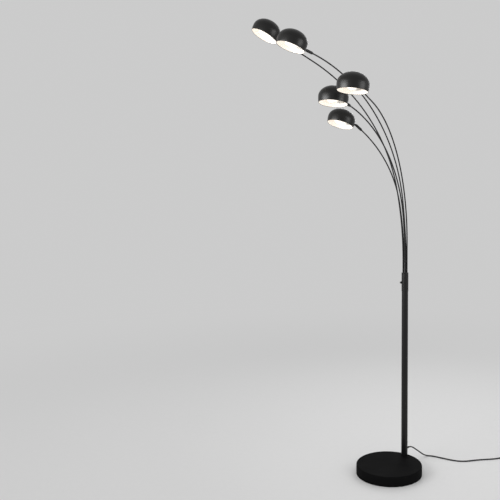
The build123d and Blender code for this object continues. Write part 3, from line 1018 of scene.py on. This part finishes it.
@dataclass
class Bulb:
    """Lit golf-ball bulb with a screw cap."""

    back: float = 31.72 * MM
    contact: tuple[tuple[float, float], ...] = (
        (0.0, 0.0), (2.6 * MM, 0.0), (3.0 * MM, 0.8 * MM), (6.0 * MM, 3.0 * MM),
    )
    cap_radius: float = 6.6 * MM
    cap_length: float = 22.0 * MM
    cap_segments: int = 48
    thread_start: float = 3.5 * MM
    thread_length: float = 15.0 * MM
    thread_depth: float = 0.5 * MM
    threads: int = 5
    steps_per_thread: int = 4
    skirt: float = 3.0 * MM
    glass_gap: float = 0.2 * MM
    neck_rise: float = 2.0 * MM
    neck_radius: float = 10.4 * MM
    radius: float = 22.4 * MM
    length: float = 77.9 * MM
    shoulder: float = 50.0
    globe_steps: int = 26
    glass_segments: int = 64

    def glass_outline(self) -> Outline:
        """Draw the neck and the globe.

        Returns:
            The points, from the cap's end to the far end.
        """
        centre = (0.0, self.length - self.radius)
        start = self.cap_length + self.glass_gap
        neck = [(0.0, start), (self.cap_radius, start), (self.neck_radius, start + self.neck_rise)]
        return neck + arc(centre, (self.radius, self.radius), self.shoulder - 90, 90,
                          self.globe_steps)

    def cap_outline(self) -> Outline:
        """Draw the screw cap with its ridges.

        Returns:
            The points, from the contact to the glass.
        """
        found = list(self.contact)
        pitch = self.thread_length / self.threads
        for i in range(self.threads * self.steps_per_thread):
            wave = 1 - math.cos(2 * math.pi * i / self.steps_per_thread)
            found.append((self.cap_radius - 0.5 * self.thread_depth * wave,
                          self.thread_start + i * pitch / self.steps_per_thread))
        return found + [(self.cap_radius, self.cap_length - self.skirt),
                        (self.cap_radius, self.cap_length), (0.0, self.cap_length)]

    def make(self, head: Head, palette: Palette) -> list[bpy.types.Object]:
        """Turn the glass and the cap.

        Args:
            head: The head's place.
            palette: The finishes.

        Returns:
            The glass and the cap.
        """
        glass = turn_on_lathe(f"bulb_glass_{head.number}", self.glass_outline(),
                              self.glass_segments, closed=False)
        palette.coat(glass, "frosted_glow")
        cap = turn_on_lathe(f"bulb_cap_{head.number}", self.cap_outline(),
                            self.cap_segments, closed=False)
        palette.coat(cap, "nickel_plate")
        for piece in (glass, cap):
            shade_smooth(piece)
            settle(piece, head.along_stud(self.back))
        return [glass, cap]


def ribs(radius: float, start: float, pitch: float, count: int, depth: float) -> Outline:
    """Outline of rounded grip ribs on a turned piece.

    Args:
        radius: Distance of the ribs' tops from the axis.
        start: Height of the first rib's foot.
        pitch: Distance from one rib to the next.
        count: Number of ribs.
        depth: Depth of the grooves.

    Returns:
        The points, upwards.
    """
    shape = ((0.0, 1.0), (0.12, 0.35), (0.3, 0.0), (0.6, 0.0), (0.78, 0.35), (0.9, 1.0))
    return [(radius - depth * drop, start + pitch * (i + part))
            for i in range(count) for part, drop in shape]


@dataclass
class Lampholder:
    """Screw lampholder with a ribbed skirt."""

    back: float = 19.12 * MM
    stud_radius: float = 5.1 * MM
    entry_radius: float = 7.5 * MM
    radius: float = 13.5 * MM
    cup: float = 7.1 * MM
    bore: float = 2.0 * MM
    length: float = 34.0 * MM
    floor: float = 12.0 * MM
    thread_end: float = 9.0 * MM
    entry_end: float = 8.0 * MM
    flare_end: float = 11.6 * MM
    skirt_start: float = 12.6 * MM
    rib_start: float = 13.0 * MM
    rib_end: float = 32.0 * MM
    rib_pitch: float = 2.3 * MM
    rib_count: int = 8
    rib_depth: float = 0.6 * MM
    soft: float = 0.8 * MM
    segments: int = 72

    def outline(self) -> Outline:
        """Draw the outside with its ribs, the rounded mouth and the inside.

        Returns:
            The closed outline's points.
        """
        top = self.length
        soft = self.soft
        entry = [(self.stud_radius, 0.0), (self.entry_radius - soft, 0.0),
                 (self.entry_radius, soft), (self.entry_radius, self.entry_end),
                 (self.radius - soft, self.flare_end), (self.radius, self.skirt_start)]
        grip = ribs(self.radius, self.rib_start, self.rib_pitch, self.rib_count, self.rib_depth)
        mouth = [(self.radius, self.rib_end), (self.radius, top - soft),
                 (self.radius - 0.3 * soft, top - 0.3 * soft), (self.radius - soft, top),
                 (self.cup + soft, top), (self.cup, top - soft)]
        inside = [(self.cup, self.floor), (self.bore, self.floor), (self.bore, self.thread_end),
                  (self.stud_radius, self.thread_end)]
        return entry + grip + mouth + inside

    def make(self, head: Head, palette: Palette) -> bpy.types.Object:
        """Turn the holder.

        Args:
            head: The head's place.
            palette: The finishes.

        Returns:
            The finished piece.
        """
        obj = turn_on_lathe(f"holder_shell_{head.number}", self.outline(), self.segments)
        palette.coat(obj, "white_plastic")
        shade_smooth(obj)
        settle(obj, head.along_stud(self.back))
        return obj


@dataclass
class Heads:
    """The five heads."""

    palette: Palette
    shade: Shade = field(default_factory=Shade)
    bulb: Bulb = field(default_factory=Bulb)
    holder: Lampholder = field(default_factory=Lampholder)

    def make(self, frame: dict) -> None:
        """Build each head's pieces and let them ride on it.
        """
        for number in ARM_NUMBERS:
            head = Head.read(frame, number)
            body = f"head_{number}"
            shell = self.shade.make(head, self.palette)
            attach(shell, body)
            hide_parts(f"shade_{number}")
            glass, cap = self.bulb.make(head, self.palette)
            for piece in (glass, cap):
                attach(piece, body)
                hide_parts(f"bulb_{number}")
            holder = self.holder.make(head, self.palette)
            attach(holder, body)
            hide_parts(f"lampholder_{number}")
            log.info("head %d: %s, %s, %s, %s", number, shell.name, glass.name, cap.name,
                     holder.name)


# ---------------------------------------------------------------- strain relief


@dataclass
class Gland:
    """Tapered, ribbed strain relief on the pole's back."""

    place: tuple[float, float, float] = (0.0, 140.0 * MM, 74.0 * MM)
    bore: float = 3.15 * MM
    bush_radius: float = 4.5 * MM
    bush_length: float = 4.0 * MM
    flange_radius: float = 6.5 * MM
    flange: float = 2.0 * MM
    root_radius: float = 5.0 * MM
    mouth_radius: float = 4.0 * MM
    length: float = 22.0 * MM
    rib_count: int = 6
    rib_depth: float = 0.45 * MM
    plain: float = 1.0 * MM
    soft: float = 0.5 * MM
    mouth_soft: float = 0.3 * MM
    segments: int = 48

    def outline(self) -> Outline:
        """Draw the bush, the rounded flange and the tapered tail with its grooves.

        Returns:
            The closed outline's points.
        """
        found = [(self.bore, -self.bush_length), (self.bush_radius, -self.bush_length),
                 (self.bush_radius, 0.0), (self.flange_radius, 0.0),
                 (self.flange_radius, self.flange - self.soft),
                 (self.flange_radius - self.soft, self.flange), (self.root_radius, self.flange)]
        pitch = (self.length - self.flange - 2 * self.plain) / self.rib_count
        taper = (self.root_radius - self.mouth_radius) / self.length
        for i in range(self.rib_count):
            foot = self.flange + self.plain + i * pitch
            found += ribs(self.root_radius - taper * (foot + pitch), foot, pitch, 1, self.rib_depth)
        return found + [(self.mouth_radius, self.length - self.soft),
                        (self.mouth_radius - self.mouth_soft, self.length),
                        (self.bore, self.length)]

    def make(self, palette: Palette) -> bpy.types.Object:
        """Turn the piece and set it in the pole's wall.

        Args:
            palette: The finishes.

        Returns:
            The finished piece.
        """
        obj = turn_on_lathe("gland_shell", self.outline(), self.segments)
        palette.coat(obj, "black_plastic")
        shade_smooth(obj)
        settle(obj, Matrix.Translation(self.place) @ Matrix.Rotation(-math.pi / 2, 4, "X"))
        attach(obj, "stand")
        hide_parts("cord_gland")
        return obj


# ---------------------------------------------------------------- cord


@dataclass
class Cord:
    """Mains cord from the pole's back to the put-away coil and the plug.

    The coil's turns lie in lanes a cord apart. The cord steps inwards on the floor, climbs, and
    steps outwards on top, then leaves towards the plug. Each of the steps is a turn, its lane and
    its layer. The route is in millimetres.
    """

    diameter: float = 6.0 * MM
    lie: float = 3.2 * MM
    coil_centre: tuple[float, float] = (358.0 * MM, 523.0 * MM)
    lanes: tuple[float, ...] = (38.9 * MM, 33.0 * MM, 27.1 * MM)
    steps: tuple[tuple[float, int, float], ...] = (
        (0.0, 0, 0.0), (0.8, 0, 0.0), (1.0, 1, 0.0), (1.8, 1, 0.0), (2.0, 2, 0.0),
        (2.45, 2, 0.0), (2.8, 2, 1.0), (3.25, 2, 1.0), (3.45, 1, 1.0), (4.25, 1, 1.0),
        (4.45, 0, 1.0), (4.95, 0, 1.0), (5.25, 0, 0.62),
    )
    points_per_turn: int = 20
    route: tuple[tuple[float, float, float], ...] = (
        (0, 146, 74), (0, 169, 74), (1.6, 189, 66.5), (4.5, 209, 53), (9.5, 230, 37),
        (15.5, 250, 21), (22, 268, 8), (33, 283, 3.2), (52, 293, 3.2), (81, 299, 3.2),
        (113, 303, 3.2), (144, 308, 3.2), (176, 318, 3.2), (203, 337, 3.2), (221, 361, 3.2),
        (239, 388, 3.2), (265, 418.5, 3.2), (291, 446, 3.2), (311, 476, 3.2), (319, 500, 3.2),
        (319, 516, 3.2),
    )
    plug_tail: tuple[float, float, float] = (376.0 * MM, 562.0 * MM, 6.8 * MM)
    steps_along: int = 8
    steps_round: int = 5
    gland: Gland = field(default_factory=Gland)

    def lane_at(self, turn: float) -> tuple[float, float]:
        """Radius and layer of the coil at a turn.

        Args:
            turn: Turns from the coil's start.

        Returns:
            The radius in metres, and the layer: 0 on the floor, 1 on top.
        """
        for (start, lane, layer), (end, next_lane, next_layer) in zip(self.steps, self.steps[1:]):
            if turn <= end:
                part = (turn - start) / (end - start)
                part = part * part * (3 - 2 * part)
                radius = self.lanes[lane] + (self.lanes[next_lane] - self.lanes[lane]) * part
                return radius, layer + (next_layer - layer) * part
        return self.lanes[self.steps[-1][1]], self.steps[-1][2]

    def coil_points(self) -> list[Vector]:
        """Place the control points of the coil's turns.

        Returns:
            The points, a little outside the lanes, because the spline runs inside them.
        """
        count = round(self.steps[-1][0] * self.points_per_turn)
        swell = 1 / math.cos(math.pi / self.points_per_turn) ** 2
        found = []
        for i in range(count + 1):
            turn = i / self.points_per_turn
            radius, layer = self.lane_at(turn)
            angle = math.pi - 2 * math.pi * turn
            found.append(Vector((self.coil_centre[0] + radius * swell * math.cos(angle),
                                 self.coil_centre[1] + radius * swell * math.sin(angle),
                                 self.lie + self.diameter * layer)))
        return found

    def make(self, palette: Palette) -> None:
        """Lay the cord as one smooth spline.

        Args:
            palette: The finishes.
        """
        points = [Vector(p) * MM for p in self.route]
        points += self.coil_points() + [Vector(self.plug_tail)]
        curve = bpy.data.curves.new("mains_cord", "CURVE")
        curve.dimensions = "3D"
        curve.resolution_u = self.steps_along
        curve.bevel_depth = self.diameter / 2
        curve.bevel_resolution = self.steps_round
        curve.use_fill_caps = True
        spline = curve.splines.new("NURBS")
        spline.points.add(len(points) - 1)
        for target, point in zip(spline.points, points):
            target.co = (*point, 1.0)
        spline.order_u = 3
        spline.use_endpoint_u = True
        obj = bpy.data.objects.new("mains_cord", curve)
        bpy.context.scene.collection.objects.link(obj)
        palette.coat(obj, "black_cord")
        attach(obj, "stand")
        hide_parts("cord", "cord_coil")
        gland = self.gland.make(palette)
        log.info("cord: %d points", len(points))


# ---------------------------------------------------------------- the CAD nodes that stay


NODE_FINISHES: dict[str, str] = {
    "base_cover": "satin_black_base",
    "base_weight": "grey_iron",
    "base_pad": "black_foam",
    "pole_foot": "zinc_steel",
    "foot_washer": "zinc_steel",
    "foot_nut": "zinc_steel",
    "pole_tube": "satin_black_pole",
    "pole_collar": "satin_black_pole",
    "arm_cap": "satin_black_pole",
    "arm_keeper": "zinc_steel",
    "keeper_screw": "zinc_steel",
    "switch_body": "black_plastic",
    "switch_nut": "satin_black_pole",
    "switch_knob": "black_plastic",
    "plug_body": "black_plastic",
    "plug_pins": "nickel_plate",
    "arm_tube": "satin_black_arm",
    "arm_socket": "satin_black_arm",
    "hinge_pin": "satin_black_arm",
    "knuckle": "satin_black_arm",
    "shade_nut": "zinc_steel",
}


def dress_nodes(frame: dict, palette: Palette) -> None:
    """Give each CAD node that shows its finish.

    Args:
        palette: The finishes.
    """
    for name, obj in frame["nodes"].items():
        kind = name.rstrip("12345").rstrip("_")
        finish = NODE_FINISHES.get(kind)
        if finish:
            palette.coat(obj, finish)


def main() -> None:
    """Build the scene in order: camera and cord first, then the rest."""
    logging.basicConfig(level=logging.INFO, format="%(name)s: %(message)s")
    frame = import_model()
    deselect()
    Camera().make()
    palette = Palette()
    Cord().make(palette)
    Studio().make()
    dress_nodes(frame, palette)
    Heads(palette).make(frame)


if __name__ == "__main__":
    main()
